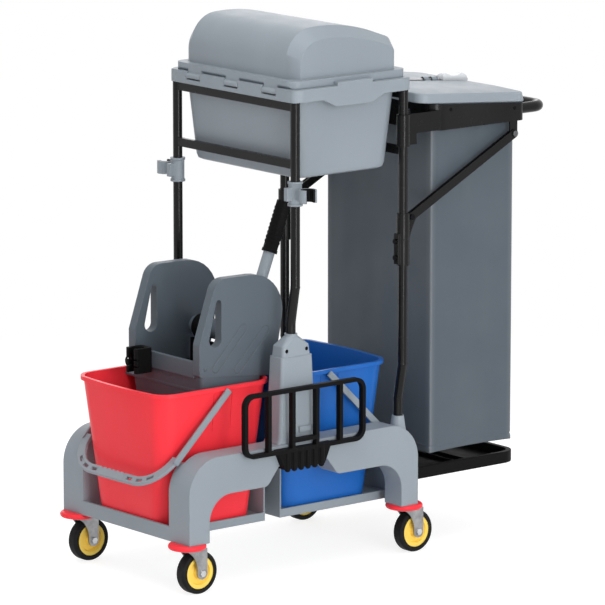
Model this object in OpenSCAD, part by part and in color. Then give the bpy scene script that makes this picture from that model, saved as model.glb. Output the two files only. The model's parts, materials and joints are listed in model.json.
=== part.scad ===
// Two-bucket janitor cart: moulded base on four casters, wringer, supply tub and bag holder.
// Millimetres, +Z up. The front (red bucket) points to -X and the push handle to +X.
// X positions are measured from the middle between the two buckets and then shifted by x_mid,
// which puts the origin on the floor under the middle of the whole cart.

/* [Casters] */
// Wheel diameter over the tyre
wheel_d = 100; // [80:1:125]
// Tyre width
tyre_w = 28; // [22:1:34]
// Hub diameter, the inside of the tyre
hub_d = 76; // [60:1:80]
// Axle bolt diameter
axle_d = 10; // [8:1:12]
// Distance from swivel axis to axle
caster_trail = 27; // [20:1:30]
// Swivel axis spacing along the cart
wheelbase = 643; // [600:1:680]
// Distance from a swivel axis to the side of the base
caster_in = 33.5; // [30:0.5:40]
// Bumper ring diameter
bumper_d = 88; // [70:1:94]
// Bumper ring height
bumper_h = 13; // [8:1:16]

/* [Base] */
// Length of the moulded base
base_l = 676; // [650:1:720]
// Width of the moulded base
base_w = 478; // [468:1:500]
// Height of a side rail's top face above the floor
rail_top_z = 318; // [310:1:330]
// Thickness of a side rail
rail_t = 61; // [50:1:64]
// Round at the ends of a side rail
shoulder_r = 85; // [60:1:95]
// Height of the arches above the leg ends
arch_h = 107; // [90:1:112]
// Round of the arches
arch_r = 62; // [30:1:80]
// Height of the necked middle of a rail
neck_h = 46; // [40:1:55]
// Height of the well floor above the leg ends
well_floor_h = 15; // [10:1:20]
// Wall of the wells and bulkheads
well_wall = 4; // [3:0.5:6]

/* [Buckets] */
// Bucket length over the rim
bucket_l = 335; // [320:1:338]
// Bucket height
bucket_h = 322; // [280:1:330]
// Bucket wall
bucket_wall = 3; // [2:0.5:4]
// How far each wall leans in from rim to floor
bucket_lean = 30; // [20:1:36]
// Space between the two rims
bucket_gap = 12; // [8:1:30]
// How far the rim stands out from the wall
rim_lip = 6; // [4:1:8]
// Space between a bail and the side rail
bail_gap = 3; // [2:0.5:6]
// Bail reach from its pins to the middle of the grip
bail_reach = 272; // [265:1:285]
// Width of the bail strap
bail_w = 22; // [16:1:26]
// Angle of the resting bails from straight down
bail_angle = 46; // [44:1:50]

/* [Wringer] */
// Width over the side plates
wringer_w = 266; // [240:1:280]
// Thickness of a side plate
wringer_plate_t = 24; // [16:1:26]
// Lever shaft diameter
shaft_d = 46; // [36:1:50]
// Lever length from the shaft axis
lever_l = 324; // [280:1:340]
// Lever tube diameter
lever_d = 27; // [22:1:30]
// Lever lean behind upright at rest
lever_lean = 21.5; // [15:0.5:25]

/* [Posts] */
// Post tube diameter
post_d = 22; // [20:1:24]
// Post tube wall
post_wall = 1.5; // [1:0.5:3]
// Post spacing along the cart
post_gap_x = 321; // [316:1:330]
// Distance from a post axis to the side of the base
post_in = 21; // [18:0.5:24]
// How far a post foot stands inside the post
post_jog = 16; // [10:1:20]
// Shroud height above the rail
shroud_h = 249; // [230:1:270]
// Tool handle diameter that the clips hold
tool_d = 24; // [20:0.5:26]

/* [Side rack] */
// Rack length
rack_l = 355; // [320:1:380]
// Rack height
rack_h = 149; // [130:1:160]
// Width of a rack bar
rack_bar = 9; // [7:0.5:11]

/* [Supply tub] */
// Tub length over the rim
tub_l = 351; // [348:1:365]
// How far the tub's rim stands out past the post axes at the sides
tub_out = 18; // [16:0.5:25]
// Height of the rim's lower edge above the floor
tub_rim_z = 1102; // [1090:1:1120]
// Height of the rim
tub_rim_h = 29; // [26:1:34]
// Depth of the tub below the rim
tub_depth = 183; // [170:1:190]
// Tub wall
tub_wall = 4; // [3:0.5:5]
// Height of the lid dome above the lid flange
dome_h = 114; // [100:1:130]

/* [Bag holder] */
// Hoop length
hoop_l = 290; // [285:1:310]
// How far the hoop's sides stand inside the post axes
hoop_in = 3.5; // [2:0.5:8]
// Hoop plate thickness
hoop_t = 5; // [4:0.5:6]
// Height of the hoop's lower edge above the floor
hoop_z = 993; // [980:1:1000]
// Slope of the hoop's upper edge and the bag lid
lid_slope = 4.5; // [3:0.5:6]
// Space between the rear posts and the hoop
hoop_gap = 90; // [80:1:100]
// Bag length
bag_l = 248; // [240:1:265]
// Space between the bag and the outside of the hoop at the sides
bag_in = 24.5; // [20:0.5:40]
// Height of the bag's floor above the ground
bag_z = 223; // [205:1:240]
// Platform height above the floor, lower face
platform_z = 167; // [150:1:175]
// Platform rim height
platform_h = 28; // [22:1:34]
// Platform length behind the base
platform_l = 350; // [320:1:360]
// How far the platform stands out past the bag at the sides
platform_out = 7; // [0:0.5:12]
// Handle tube diameter
handle_d = 26; // [22:1:30]
// Handle reach behind the hoop
handle_reach = 100; // [85:1:120]

/* [Hidden] */

$fn = 64;
// Facets of shapes that are blended
blend_fn = 32;
eps = 0.01;
// Clearances: still fit, running fit, seat, free gap
fit = 0.1;
run = 0.05;
seat = 0.3;

light_grey = [0.58, 0.62, 0.66];
slate = [0.35, 0.39, 0.42];
red = [0.92, 0.27, 0.31];
blue = [0.19, 0.38, 0.74];
black = [0.12, 0.12, 0.12];
yellow = [0.98, 0.85, 0.38];
steel = [0.62, 0.62, 0.62];
bag_grey = [0.38, 0.42, 0.45];

// Casters
wheel_r = wheel_d / 2;
hub_r = hub_d / 2;
axle_r = axle_d / 2;
hub_half = tyre_w / 2 + 3.5;
fork_in = hub_half + 0.5;
fork_t = 4;
fork_top_t = 3;
fork_rise = 4.7;
fork_end_r = 14;
fork_front = 20;
leg_z = wheel_d + fork_rise + fork_top_t + seat + bumper_h;
stem_r = 6;
stem_up = 40;

// Base
front_overhang = 19;
base_front = -315;
base_rear = base_front + base_l;
swivel_front = base_front + front_overhang;
swivel_rear = swivel_front + wheelbase;
track = base_w - 2 * caster_in;
leg_front_l = 58;
leg_rear_l = 50;
leg_front_t = 76;
rail_in = base_w / 2 - rail_t;
arch_z = leg_z + arch_h;
neck_z = rail_top_z - neck_h;
neck_front = -55;
neck_rear = 84;
neck_slant = 34;
lobe_r = 18;
neck_r = 14;
well_floor_z = leg_z + well_floor_h;
well_inner = 22;
front_beam_t = 6;
rear_beam_t = 10;
front_beam_h = 34;
rear_beam_h = 96;
bulkhead_top = neck_z + 8;

// Buckets: the red one is at -X and the blue one mirrors it
bucket_z = well_floor_z;
rim_z = bucket_z + bucket_h;
bail_t = 5;
bail_out = rail_in - bail_gap;
bail_in = bail_out - bail_t;
bucket_w = 2 * (bail_in - 2);
bucket_top_l = bucket_l - 2 * rim_lip;
bucket_top_w = bucket_w - 2 * rim_lip;
well_w = bucket_top_w - 2 * bucket_lean + 26;
bucket_x = (bucket_gap + bucket_l) / 2;
bucket_r = 45;
bucket_bow = 7;
bow_r = 900;
rim_h = 9;
pin_r = 5;
pin_shift = 17;
pin_x = bucket_x - pin_shift;
pin_z = rim_z - 1;
bail_corner = 95;
arm_w = 15;
arm_up = 13;
arm_skin = 1.5;
bail_step = 190;
strap_t = 8;
grip_half = 48;
grip_t = 10;
slot_l = 20;
slot_w = 8;

// Wringer
plate_out = wringer_w / 2;
plate_in = plate_out - wringer_plate_t;
wringer_front = -216;
wringer_rear = -14;
shaft_x = -37;
shaft_z = rim_z + 90;
shaft_r = shaft_d / 2;
journal_r = 8;
lever_r = lever_d / 2;
lever_y = -(plate_in - 21);
lever_grip_l = 122;
basket_top = rim_z + 20;
basket_z = rim_z - 128;
basket_half = plate_out;
cheek_set = 14;
basket_wall = 4;
deck_z = rim_z - 18;
groove_l = 138;
groove_w = 21;
deck_t = 6;

// Posts
post_r = post_d / 2;
front_post_x = 9;
rear_post_x = front_post_x + post_gap_x;
post_y = base_w / 2 - post_in;
foot_y = post_y - post_jog;
shroud_top = rail_top_z + shroud_h;
screw_r = 4.5;
post_socket = 95;
front_jog_z = shroud_top + 25;
jog_rise = 84;
cone_top = rail_top_z + 14;
cone_h = 78;
rear_foot_z = cone_top - 50;
rear_jog_z = cone_top + 40;
post_top_z = tub_rim_z + tub_rim_h - tub_wall - seat;
bar_h = 20;
bar_t = 10;
clip_z = 865;
clip_h = 56;
collar_t = 4.5;
jaw_y = post_y + 46;
jaw_t = 4;
rubber_t = 4.5;
jaw_h = 30;
jaw_mouth = 100;

// Rack on the left rail
rack_x = 8;
rack_z = rail_top_z - 15;
rack_t = 14;
rack_r = 28;
rack_y = -(base_w / 2 + 20);
rack_foot_l = 160;
rack_foot_h = 42;

// Tub
tub_x = front_post_x + post_gap_x / 2;
tub_r = 30;
tub_w = 2 * (post_y + tub_out);
tub_top_l = post_gap_x - 13;
tub_top_w = 2 * (post_y - 3);
tub_lean = 16;
tub_top_z = tub_rim_z + tub_rim_h;
tub_z = tub_rim_z - tub_depth;
high_bar_z = tub_rim_z - 1 - bar_h;
low_bar_z = tub_rim_z - 173 + bar_h;
hinge_x = tub_x - tub_l / 2 + 6;
hinge_z = tub_top_z - 10;
hinge_pin_r = 2.5;
knuckle_r = 7;
knuckle_w = 50;
knuckle_pitch = 140;
hinge_len = tub_w - 72;
tab_up = 9;
flange_z = tub_top_z + seat;
flange_h = 18;
flange_back = 4;
flange_side = 15;
lid_wall = 3;
dome_z = flange_z + flange_h;
dome_top = dome_z + dome_h;
crest_back = 29;
crest_r = 457;

// Bag holder
hoop_front = rear_post_x + hoop_gap;
hoop_rear = hoop_front + hoop_l;
hoop_x = (hoop_front + hoop_rear) / 2;
hoop_h = 52.6;
hoop_r_front = 40;
hoop_r_rear = 18;
hoop_w = 2 * (post_y - hoop_in);
side_mid = hoop_w / 2 - hoop_t / 2;
bag_w = hoop_w - 2 * bag_in;
slope_z = hoop_z + hoop_h;
hem_t = 2;
bag_wall = 3;
tab_x = hoop_rear - 37;
tab_l = 22;
tab_drop = 36;
brace_top_z = hoop_z - 29;
brace_low_x = rear_post_x + 26.5;
brace_low_z = hoop_z - 193;
brace_h = 20;
brace_w = 12;
brace_slot = hoop_t + 1.4;
brace_run = tab_x - brace_low_x;
brace_rise = brace_top_z - brace_low_z;
brace_l = sqrt(brace_run * brace_run + brace_rise * brace_rise);
brace_tilt = atan2(brace_rise, brace_run);
bolt_r = 4;
bolt_head = 7;
bolt_head_t = 4;
clamp_z = brace_low_z - 110;
clamp_h = 122;
bracket_z = low_bar_z + bar_h + seat;
bracket_h = hoop_z + 50 - bracket_z;
arm_t = 14;
arm_top_z = hoop_z + 48;
platform_t = 4;
platform_rim = 13;
platform_w = bag_w + 2 * platform_out;
handle_r = handle_d / 2;
handle_z = hoop_z + 22;
handle_y = hoop_w / 2 - 34.5;
handle_bend = 35;
flap_front = -(hoop_l / 2 + 39);
flap_rear = hoop_l / 2 + 7;
flap_half = hoop_w / 2 + 3;
flap_edge = 22;
flap_crown = 28;
flap_wall = 3;
flap_gap = 8;
rod_r = 4;
rod_z = hem_t + flap_crown + 1;
rod_half = hoop_l / 2 - hoop_t / 2;
eye_out = 6.5;
eye_w = 18;
grip_l = 74;
grip_x = flap_rear - 18 - grip_l / 2;
grip_notch = 20;

// The whole cart reaches from the red bail's grip to the push handle
front_reach = pin_x + (bail_reach + bail_w / 2) * sin(bail_angle) + grip_t / 2 * cos(bail_angle);
rear_reach = hoop_rear + handle_reach;
x_mid = (front_reach - rear_reach) / 2;

// Shifts a piece from the middle between the buckets to the origin
module placed() {
  translate([x_mid, 0, 0]) children();
}

// Extrudes a side view (x, z) from y0 to y1
module along_y(y0, y1) {
  translate([0, y1, 0]) rotate([90, 0, 0]) linear_extrude(y1 - y0) children();
}

// Puts a piece on the left (-1) or right (+1) side of the cart
module side(s) {
  mirror([0, s < 0 ? 1 : 0, 0]) children();
}

// Round bar along Y
module rod_y(r, y0, y1) {
  translate([0, y1, 0]) rotate([90, 0, 0]) cylinder(r = r, h = y1 - y0);
}

// Rectangle with round corners, centred
module rounded_rect(l, w, r) {
  square([l - 2 * r, w], center = true);
  square([l, w - 2 * r], center = true);
  for (sx = [-1, 1], sy = [-1, 1]) translate([sx * (l / 2 - r), sy * (w / 2 - r)]) circle(r);
}

// Solid that leans in from a top outline to a bottom one
module tapered(l0, w0, r0, z0, l1, w1, r1, z1) {
  hull() {
    translate([0, 0, z0]) linear_extrude(eps) rounded_rect(l0, w0, r0, $fn = blend_fn);
    translate([0, 0, z1 - eps]) linear_extrude(eps) rounded_rect(l1, w1, r1, $fn = blend_fn);
  }
}

module at_swivel(front, s) {
  translate([front ? swivel_front : swivel_rear, s * track / 2, 0]) children();
}

module at_all_swivels() {
  for (front = [true, false], s = [-1, 1]) at_swivel(front, s) children();
}

// Corner of a closed outline: its point, the two neighbours' directions and the distance to the tangent points
function before(p, i) = p[(i + len(p) - 1) % len(p)];
function after(p, i) = p[(i + 1) % len(p)];
function unit(v) = v / norm(v);
function turn(p, i) = cross(unit(p[i] - before(p, i)), unit(after(p, i) - p[i]));
function half_angle(p, i) = acos(unit(before(p, i) - p[i]) * unit(after(p, i) - p[i])) / 2;
function tangent(p, r, i) = r[i] / tan(half_angle(p, i));
function corner_in(p, r, i) = p[i] + tangent(p, r, i) * unit(before(p, i) - p[i]);
function corner_out(p, r, i) = p[i] + tangent(p, r, i) * unit(after(p, i) - p[i]);
function corner_centre(p, r, i) = p[i] + r[i] / sin(half_angle(p, i))
  * unit(unit(before(p, i) - p[i]) + unit(after(p, i) - p[i]));

// Slice of a round corner between its tangent points
module corner_slice(p, r, i) {
  intersection() {
    polygon([p[i], corner_in(p, r, i), corner_centre(p, r, i), corner_out(p, r, i)]);
    translate(corner_centre(p, r, i)) circle(r[i]);
  }
}

// Closed outline, counter-clockwise, with a radius at each corner; corners that turn right are hollow
module rounded_outline(p, r) {
  ids = [for (i = [0:len(p) - 1]) if (r[i] > 0) i];
  difference() {
    union() {
      polygon([for (i = [0:len(p) - 1]) each r[i] > 0 ? [corner_in(p, r, i), corner_out(p, r, i)] : [p[i]]]);
      for (i = ids) if (turn(p, i) > 0) corner_slice(p, r, i);
    }
    for (i = ids) if (turn(p, i) < 0) corner_slice(p, r, i);
  }
}

// Side view of a rail with its two legs, its arches and its necked middle
module rail_profile() {
  rounded_outline([[base_front, leg_z], [base_front + leg_front_l, leg_z], [base_front + leg_front_l, arch_z],
      [neck_front - neck_slant, arch_z], [neck_front, neck_z], [neck_rear, neck_z],
      [neck_rear + neck_slant, arch_z], [base_rear - leg_rear_l, arch_z], [base_rear - leg_rear_l, leg_z],
      [base_rear, leg_z], [base_rear, rail_top_z], [base_front, rail_top_z]],
    [0, 0, arch_r, lobe_r, neck_r, neck_r, lobe_r, arch_r, 0, 0, shoulder_r, shoulder_r]);
}

// Inner cheek that thickens the front legs
module leg_profile() {
  intersection() {
    rail_profile();
    translate([base_front, 0]) square([leg_front_l, rail_top_z - 20]);
  }
}

// Open well that holds one bucket
module well(x0, x1) {
  translate([x0, -well_w / 2, well_floor_z - well_wall]) cube([x1 - x0, well_w, well_wall]);
  for (s = [-1, 1])
    translate([x0, s * (well_w / 2 - well_wall / 2) - well_wall / 2, leg_z])
      cube([x1 - x0, well_wall, well_floor_h + 5]);
}

// Wall at the inner end of a well, hung from the necks of both rails
module bulkhead(x0) {
  translate([x0, -well_w / 2, leg_z]) cube([well_wall, well_w, bulkhead_top - leg_z]);
  translate([x0, -rail_in - 1, neck_z - 30]) cube([well_wall, 2 * rail_in + 2, bulkhead_top - neck_z + 30]);
}

module chassis() {
  color(light_grey) placed() difference() {
    union() {
      for (s = [-1, 1]) side(s) {
        along_y(rail_in, base_w / 2) rail_profile();
        along_y(base_w / 2 - leg_front_t, rail_in + 1) leg_profile();
        translate([rear_post_x, foot_y, cone_top - cone_h]) cylinder(r1 = 25, r2 = post_r + 3, h = cone_h);
      }
      well(base_front + 1, -well_inner);
      well(well_inner, base_rear - 1);
      bulkhead(-well_inner - well_wall);
      bulkhead(well_inner);
      translate([base_front, -rail_in - 1, leg_z]) cube([front_beam_t, 2 * rail_in + 2, front_beam_h]);
      translate([base_rear - rear_beam_t, -rail_in - 1, leg_z]) cube([rear_beam_t, 2 * rail_in + 2, rear_beam_h]);
    }
    at_all_swivels() translate([0, 0, leg_z - 1]) cylinder(r = stem_r + fit, h = stem_up + 1 + seat);
    for (s = [-1, 1]) translate([rear_post_x, s * foot_y, rear_foot_z]) cylinder(r = post_r + fit, h = 90);
  }
}

module bumper_rings() {
  edge_r = bumper_h / 2;
  color(red) placed() at_all_swivels() translate([0, 0, leg_z - bumper_h]) rotate_extrude() difference() {
    union() {
      square([bumper_d / 2 - edge_r, bumper_h]);
      translate([bumper_d / 2 - edge_r, edge_r]) circle(edge_r);
    }
    square([stem_r + fit, bumper_h]);
  }
}

module caster_stems() {
  head_t = 3;
  top = leg_z - bumper_h - seat - fork_top_t - seat;
  color(steel) placed() at_all_swivels() {
    translate([0, 0, top - head_t]) cylinder(r = stem_r + 2, h = head_t);
    translate([0, 0, top - eps]) cylinder(r = stem_r, h = leg_z + stem_up - top);
  }
}

// Side view of a fork arm: upright back, hollow front edge, round at the axle
module fork_arm(top) {
  x0 = caster_trail - fork_end_r;
  z0 = wheel_r + 8;
  reach = x0 + fork_front;
  rise = top - z0;
  hollow_r = (reach * reach + rise * rise) / (2 * reach);
  translate([x0, wheel_r]) square([2 * fork_end_r, 9]);
  translate([caster_trail, wheel_r]) circle(fork_end_r);
  difference() {
    translate([-fork_front, z0]) square([reach + 2 * fork_end_r, rise]);
    translate([x0 - hollow_r, z0]) circle(hollow_r);
  }
}

// Steel fork: round top plate with two arms that trail to the axle
module caster_fork(front, s) {
  top = leg_z - bumper_h - seat;
  color(steel) placed() at_swivel(front, s) difference() {
    union() {
      translate([0, 0, top - fork_top_t]) cylinder(r = fork_in + 9, h = fork_top_t);
      translate([0, -fork_in - fork_t, top - fork_top_t])
        cube([caster_trail + fork_end_r, 2 * (fork_in + fork_t), fork_top_t]);
      for (a = [-1, 1]) side(a) along_y(fork_in, fork_in + fork_t) fork_arm(top);
    }
    translate([0, 0, top - fork_top_t - 1]) cylinder(r = stem_r + run, h = fork_top_t + 2);
    translate([caster_trail, 0, wheel_r]) rod_y(axle_r + run, -fork_in - fork_t - 1, fork_in + fork_t + 1);
  }
}

module caster_axle(front, s) {
  reach = fork_in + fork_t;
  color(steel) placed() at_swivel(front, s) translate([caster_trail, 0, wheel_r]) {
    rod_y(axle_r, -reach - eps, reach + eps);
    for (a = [-1, 1]) side(a) rod_y(8, reach, reach + 4, $fn = 6);
  }
}

// Dished yellow hub with a raised outer ring
module wheel_hub(front, s) {
  ring_half = tyre_w / 2 - 2;
  web_half = 4;
  color(yellow) placed() at_swivel(front, s) translate([caster_trail, 0, wheel_r]) rotate([90, 0, 0])
    rotate_extrude() difference() {
      polygon([[axle_r + run, -hub_half], [13, -hub_half], [15, -web_half - 3], [hub_r - 12, -web_half],
        [hub_r - 9, -ring_half], [hub_r - fit, -ring_half], [hub_r - fit, ring_half], [hub_r - 9, ring_half],
        [hub_r - 12, web_half], [15, web_half + 3], [13, hub_half], [axle_r + run, hub_half]]);
    }
}

module wheel_tyre(front, s) {
  edge_r = 6;
  color(black) placed() at_swivel(front, s) translate([caster_trail, 0, wheel_r]) rotate([90, 0, 0])
    rotate_extrude() {
      translate([hub_r, -tyre_w / 2]) square([wheel_r - hub_r - edge_r, tyre_w]);
      translate([hub_r, -tyre_w / 2 + edge_r]) square([wheel_r - hub_r, tyre_w - 2 * edge_r]);
      for (a = [-1, 1]) translate([wheel_r - edge_r, a * (tyre_w / 2 - edge_r)]) circle(edge_r);
    }
}

// Tall tapered sleeve that carries a front post on the rail
module post_shroud(s) {
  foot_h = 12;
  step_z = shroud_top - 50;
  color(light_grey) placed() side(s) difference() {
    translate([front_post_x, foot_y, 0]) {
      tapered(122, 60, 8, rail_top_z, 108, 56, 8, rail_top_z + foot_h);
      tapered(108, 56, 8, rail_top_z + foot_h - eps, 90, 50, 8, step_z);
      tapered(82, 46, 8, step_z - eps, 78, 42, 8, shroud_top - 26);
      hull() {
        translate([0, 0, shroud_top - 26 - eps]) linear_extrude(eps) rounded_rect(78, 42, 8, $fn = blend_fn);
        translate([0, 0, shroud_top - 6]) cylinder(r = post_r + 5, h = eps, $fn = blend_fn);
      }
      translate([0, 0, shroud_top - 8]) cylinder(r = post_r + 4, h = 8);
      translate([0, 27, rail_top_z + 22]) cube([40, 6, 14]);
    }
    translate([front_post_x, foot_y, shroud_top - post_socket]) cylinder(r = post_r + fit, h = post_socket + 1);
    at_shroud_screws() rod_y(screw_r + fit, foot_y + 16, foot_y + 40);
  }
}

module at_shroud_screws() {
  for (dx = [-29, 29]) translate([front_post_x + dx, 0, shroud_top - 36]) children();
}

module shroud_screws() {
  color(black) placed() for (s = [-1, 1]) side(s) at_shroud_screws() rod_y(screw_r, foot_y + 16, foot_y + 21);
}

// Round bar bent in the y-z plane, with a ball a little larger than the bar at each bend
module bent_bar(points, r) {
  ball = 0.4;
  for (i = [0:len(points) - 2]) {
    step = points[i + 1] - points[i];
    translate([0, points[i][0], points[i][1]]) rotate([-atan2(step[0], step[1]), 0, 0])
      cylinder(r = r, h = norm(step));
  }
  for (i = [1:len(points) - 2]) translate([0, points[i][0], points[i][1]]) sphere(r = r + ball);
}

// Axis of a post, longer at both ends by more
function post_path(foot_z, jog_z, more) = [[foot_y, foot_z - more], [foot_y, jog_z],
  [post_y, jog_z + jog_rise], [post_y, post_top_z + more]];

// Tube that stands up from its foot, leans out by the jog and stands up again
module post(front, s) {
  foot_z = front ? shroud_top - post_socket + seat : rear_foot_z + seat;
  jog_z = front ? front_jog_z : rear_jog_z;
  color(black) placed() side(s) translate([front ? front_post_x : rear_post_x, 0, 0]) difference() {
    bent_bar(post_path(foot_z, jog_z, 0), post_r);
    bent_bar(post_path(foot_z, jog_z, 1), post_r - post_wall);
  }
}

// Upper and lower bar across the cart between two posts, coped to the tubes
module cross_bars(x) {
  color(black) placed() difference() {
    for (z = [high_bar_z, low_bar_z])
      translate([x - bar_t / 2, -post_y, z]) cube([bar_t, 2 * post_y, bar_h]);
    for (s = [-1, 1]) translate([x, s * post_y, tub_z]) cylinder(r = post_r + fit, h = tub_depth);
  }
}

// Post collar with a C-shaped jaw that opens outwards
module tool_clip(s) {
  jaw_out = tool_d / 2 + rubber_t + jaw_t;
  jaw_z = clip_z + (clip_h - jaw_h) / 2;
  color(light_grey) placed() side(s) translate([front_post_x, 0, 0]) difference() {
    union() {
      translate([0, post_y, clip_z]) cylinder(r = post_r + collar_t, h = clip_h);
      for (z = [clip_z, clip_z + clip_h - 5]) translate([0, post_y, z])
        cylinder(r = post_r + collar_t + 2, h = 5);
      translate([-9, post_y, jaw_z + 3]) cube([18, jaw_y - post_y, jaw_h - 6]);
      translate([0, jaw_y, jaw_z]) cylinder(r = jaw_out, h = jaw_h);
      translate([-28, post_y - 6, jaw_z]) cube([18, 12, jaw_h]);
    }
    translate([0, post_y, clip_z - 1]) cylinder(r = post_r + fit, h = clip_h + 2);
    translate([0, jaw_y, jaw_z - 1]) cylinder(r = tool_d / 2 + rubber_t, h = jaw_h + 2);
    translate([0, jaw_y, jaw_z - 1]) jaw_wedge(jaw_h + 2);
  }
}

// Mouth of a tool clip
module jaw_wedge(h) {
  reach = 60;
  half = jaw_mouth / 2;
  linear_extrude(h) polygon([[0, 0], [reach * sin(half), reach * cos(half)], [0, reach * 2],
    [-reach * sin(half), reach * cos(half)]]);
}

module tool_clip_rubber(s) {
  rib_r = 1.2;
  ribs = 9;
  jaw_z = clip_z + (clip_h - jaw_h) / 2;
  outer = tool_d / 2 + rubber_t - fit;
  color(black) placed() side(s) translate([front_post_x, jaw_y, jaw_z]) difference() {
    cylinder(r = outer, h = jaw_h);
    translate([0, 0, -1]) cylinder(r = tool_d / 2, h = jaw_h + 2);
    translate([0, 0, -1]) jaw_wedge(jaw_h + 2);
    for (i = [0:ribs - 1])
      rotate(jaw_mouth / 2 + 90 + (i + 0.5) * (360 - jaw_mouth) / ribs)
        translate([tool_d / 2, 0, -1]) cylinder(r = rib_r, h = jaw_h + 2, $fn = 24);
  }
}

// Outline of the rack's frame
module rack_outline(inset) {
  translate([rack_x, rack_z + rack_h / 2])
    rounded_rect(rack_l - 2 * inset, rack_h - 2 * inset, rack_r - inset);
}

module side_rack() {
  bars = 4;
  pitch = 70;
  ribs = 6;
  rib_r = 7;
  foot_top = rack_z + rack_bar;
  foot_z = neck_z - 8;
  color(black) placed() {
    along_y(rack_y, rack_y + rack_t) {
      difference() {
        rack_outline(0);
        rack_outline(rack_bar);
      }
      for (i = [0:bars - 1])
        translate([rack_x + (i - (bars - 1) / 2) * pitch - rack_bar / 2, rack_z + 1]) square([rack_bar, rack_h - 2]);
      translate([rack_x - pitch / 2, rack_z + 22]) square([pitch, rack_bar]);
    }
    along_y(rack_y + 4, -base_w / 2) polygon([[rack_x - rack_foot_l / 2, foot_top], [rack_x - 59, foot_z],
      [rack_x + 59, foot_z], [rack_x + rack_foot_l / 2, foot_top]]);
    translate([rack_x - 59, -base_w / 2 - eps, foot_z]) cube([118, 14, 8 - seat]);
    for (i = [0:ribs - 1])
      translate([rack_x + (i - (ribs - 1) / 2) * 20, rack_y + 6, foot_z]) {
        cylinder(r = rib_r, h = foot_top - foot_z);
        sphere(r = rib_r);
      }
  }
}

// Outline of the tub rim
module tub_outline(inset) {
  rounded_rect(tub_l - 2 * inset, tub_w - 2 * inset, tub_r - inset);
}

// Drop lip under the middle of a long rim, seen from the side
module lip_profile() {
  drop = 18;
  half = 54;
  slant = 38;
  polygon([[-half - slant, 1], [-half, -drop], [half, -drop], [half + slant, 1]]);
}

// Body of the tub, drawn in by inset, up to a height: round lower edges, sides that lean out
module tub_form(inset, top) {
  body_r = 36 - inset;
  edge = 14;
  hull() {
    for (a = [0, 45, 90]) translate([0, 0, tub_z + inset + edge * (1 - cos(a))]) linear_extrude(0.1)
      rounded_rect(tub_top_l - 2 * (tub_lean + inset + edge * (1 - sin(a))),
        tub_top_w - 2 * (tub_lean + inset + edge * (1 - sin(a))), body_r - edge * (1 - sin(a)));
    translate([0, 0, top - 0.1]) linear_extrude(0.1)
      rounded_rect(tub_top_l - 2 * inset, tub_top_w - 2 * inset, body_r);
  }
}

module supply_tub() {
  bar_w = 17;
  bar_drop = 13;
  color(light_grey) placed() difference() {
    union() {
      translate([tub_x, 0, 0]) {
        tub_form(0, tub_top_z);
        difference() {
          translate([0, 0, tub_rim_z]) linear_extrude(tub_rim_h) tub_outline(0);
          translate([0, 0, tub_rim_z - 1]) linear_extrude(tub_rim_h - tub_wall + 1) tub_outline(tub_wall);
        }
        for (sx = [-1, 1], sy = [-1, 1]) translate([sx * post_gap_x / 2, sy * post_y, tub_rim_z])
          cylinder(r = post_r + 3, h = tub_rim_h - 1);
        for (s = [-1, 1]) side(s) along_y(tub_w / 2 - tub_wall, tub_w / 2)
          translate([0, tub_rim_z]) lip_profile();
      }
      translate([hinge_x - 6, -hinge_len / 2, hinge_z - bar_drop])
        cube([bar_w, hinge_len, tub_top_z - hinge_z + bar_drop]);
      for (s = [-1, 1]) side(s) translate([tub_x - 50, tub_w / 2 - flange_side + seat, tub_top_z - 1])
        cube([104, flange_side - seat, tab_up + 1]);
    }
    translate([tub_x, 0, 0]) {
      tub_form(tub_wall, tub_top_z + 1);
      for (sx = [-1, 1], sy = [-1, 1]) translate([sx * post_gap_x / 2, sy * post_y, tub_rim_z - 1])
        cylinder(r = post_r + fit, h = tub_rim_h - tub_wall + 1);
    }
    at_knuckles() translate([-20, -knuckle_w / 2 - 1, -knuckle_r - 2])
      cube([20 + knuckle_r + 1.5, knuckle_w + 2, 40]);
    translate([hinge_x, 0, hinge_z]) rod_y(hinge_pin_r + run, -hinge_len / 2 - 1, hinge_len / 2 + 1);
  }
}

module at_knuckles() {
  for (i = [-1:1]) translate([hinge_x, i * knuckle_pitch, hinge_z]) children();
}

module lid_hinge_pin() {
  color(steel) placed() translate([hinge_x, 0, hinge_z]) rod_y(hinge_pin_r, -hinge_len / 2, hinge_len / 2);
}

// Outline of the lid flange, which starts above the hinge axis
module flange_outline(inset) {
  x0 = hinge_x + inset;
  x1 = tub_x + tub_l / 2 - flange_back - inset;
  translate([(x0 + x1) / 2, 0]) rounded_rect(x1 - x0, tub_w - 2 * flange_side - 2 * inset, 26 - inset);
}

// Domed top: a steep round front, a top that falls to the rear and bevelled ends
module dome(inset, drop) {
  front = tub_x - tub_l / 2 + 21.5 + inset;
  rear = tub_x + tub_l / 2 - 18.5 - inset;
  top = dome_top - inset;
  half = tub_w / 2 - 29 - inset;
  crest_half = half - 32;
  hull() {
    along_y(-crest_half, crest_half)
      dome_profile(front, rear, top, 75 - inset, 22 - inset, drop);
    along_y(-half, half)
      dome_profile(front + 18, rear - 16, top - 25, 60 - inset, 12 - inset, drop);
  }
}

// Side view of the dome: round front, long convex fall from the crest to a round rear edge
module dome_profile(front, rear, top, front_r, rear_r, drop) {
  base = dome_z - 2 - drop;
  crest = front + front_r + crest_back;
  run_x = rear - rear_r - crest;
  fall = crest_r - sqrt(crest_r * crest_r - run_x * run_x);
  translate([front, base]) square([rear - front, 2 + drop]);
  intersection() {
    union() {
      translate([front + front_r, top - 1 - front_r]) circle(front_r);
      translate([rear - rear_r, top - fall - rear_r]) circle(rear_r, $fn = blend_fn);
      intersection() {
        translate([crest, top - crest_r]) circle(crest_r, $fn = 360);
        translate([front + front_r, base]) square([rear - rear_r - front - front_r, top - base]);
      }
    }
    translate([front, base]) square([rear - front, top - base + 1]);
  }
}

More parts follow.
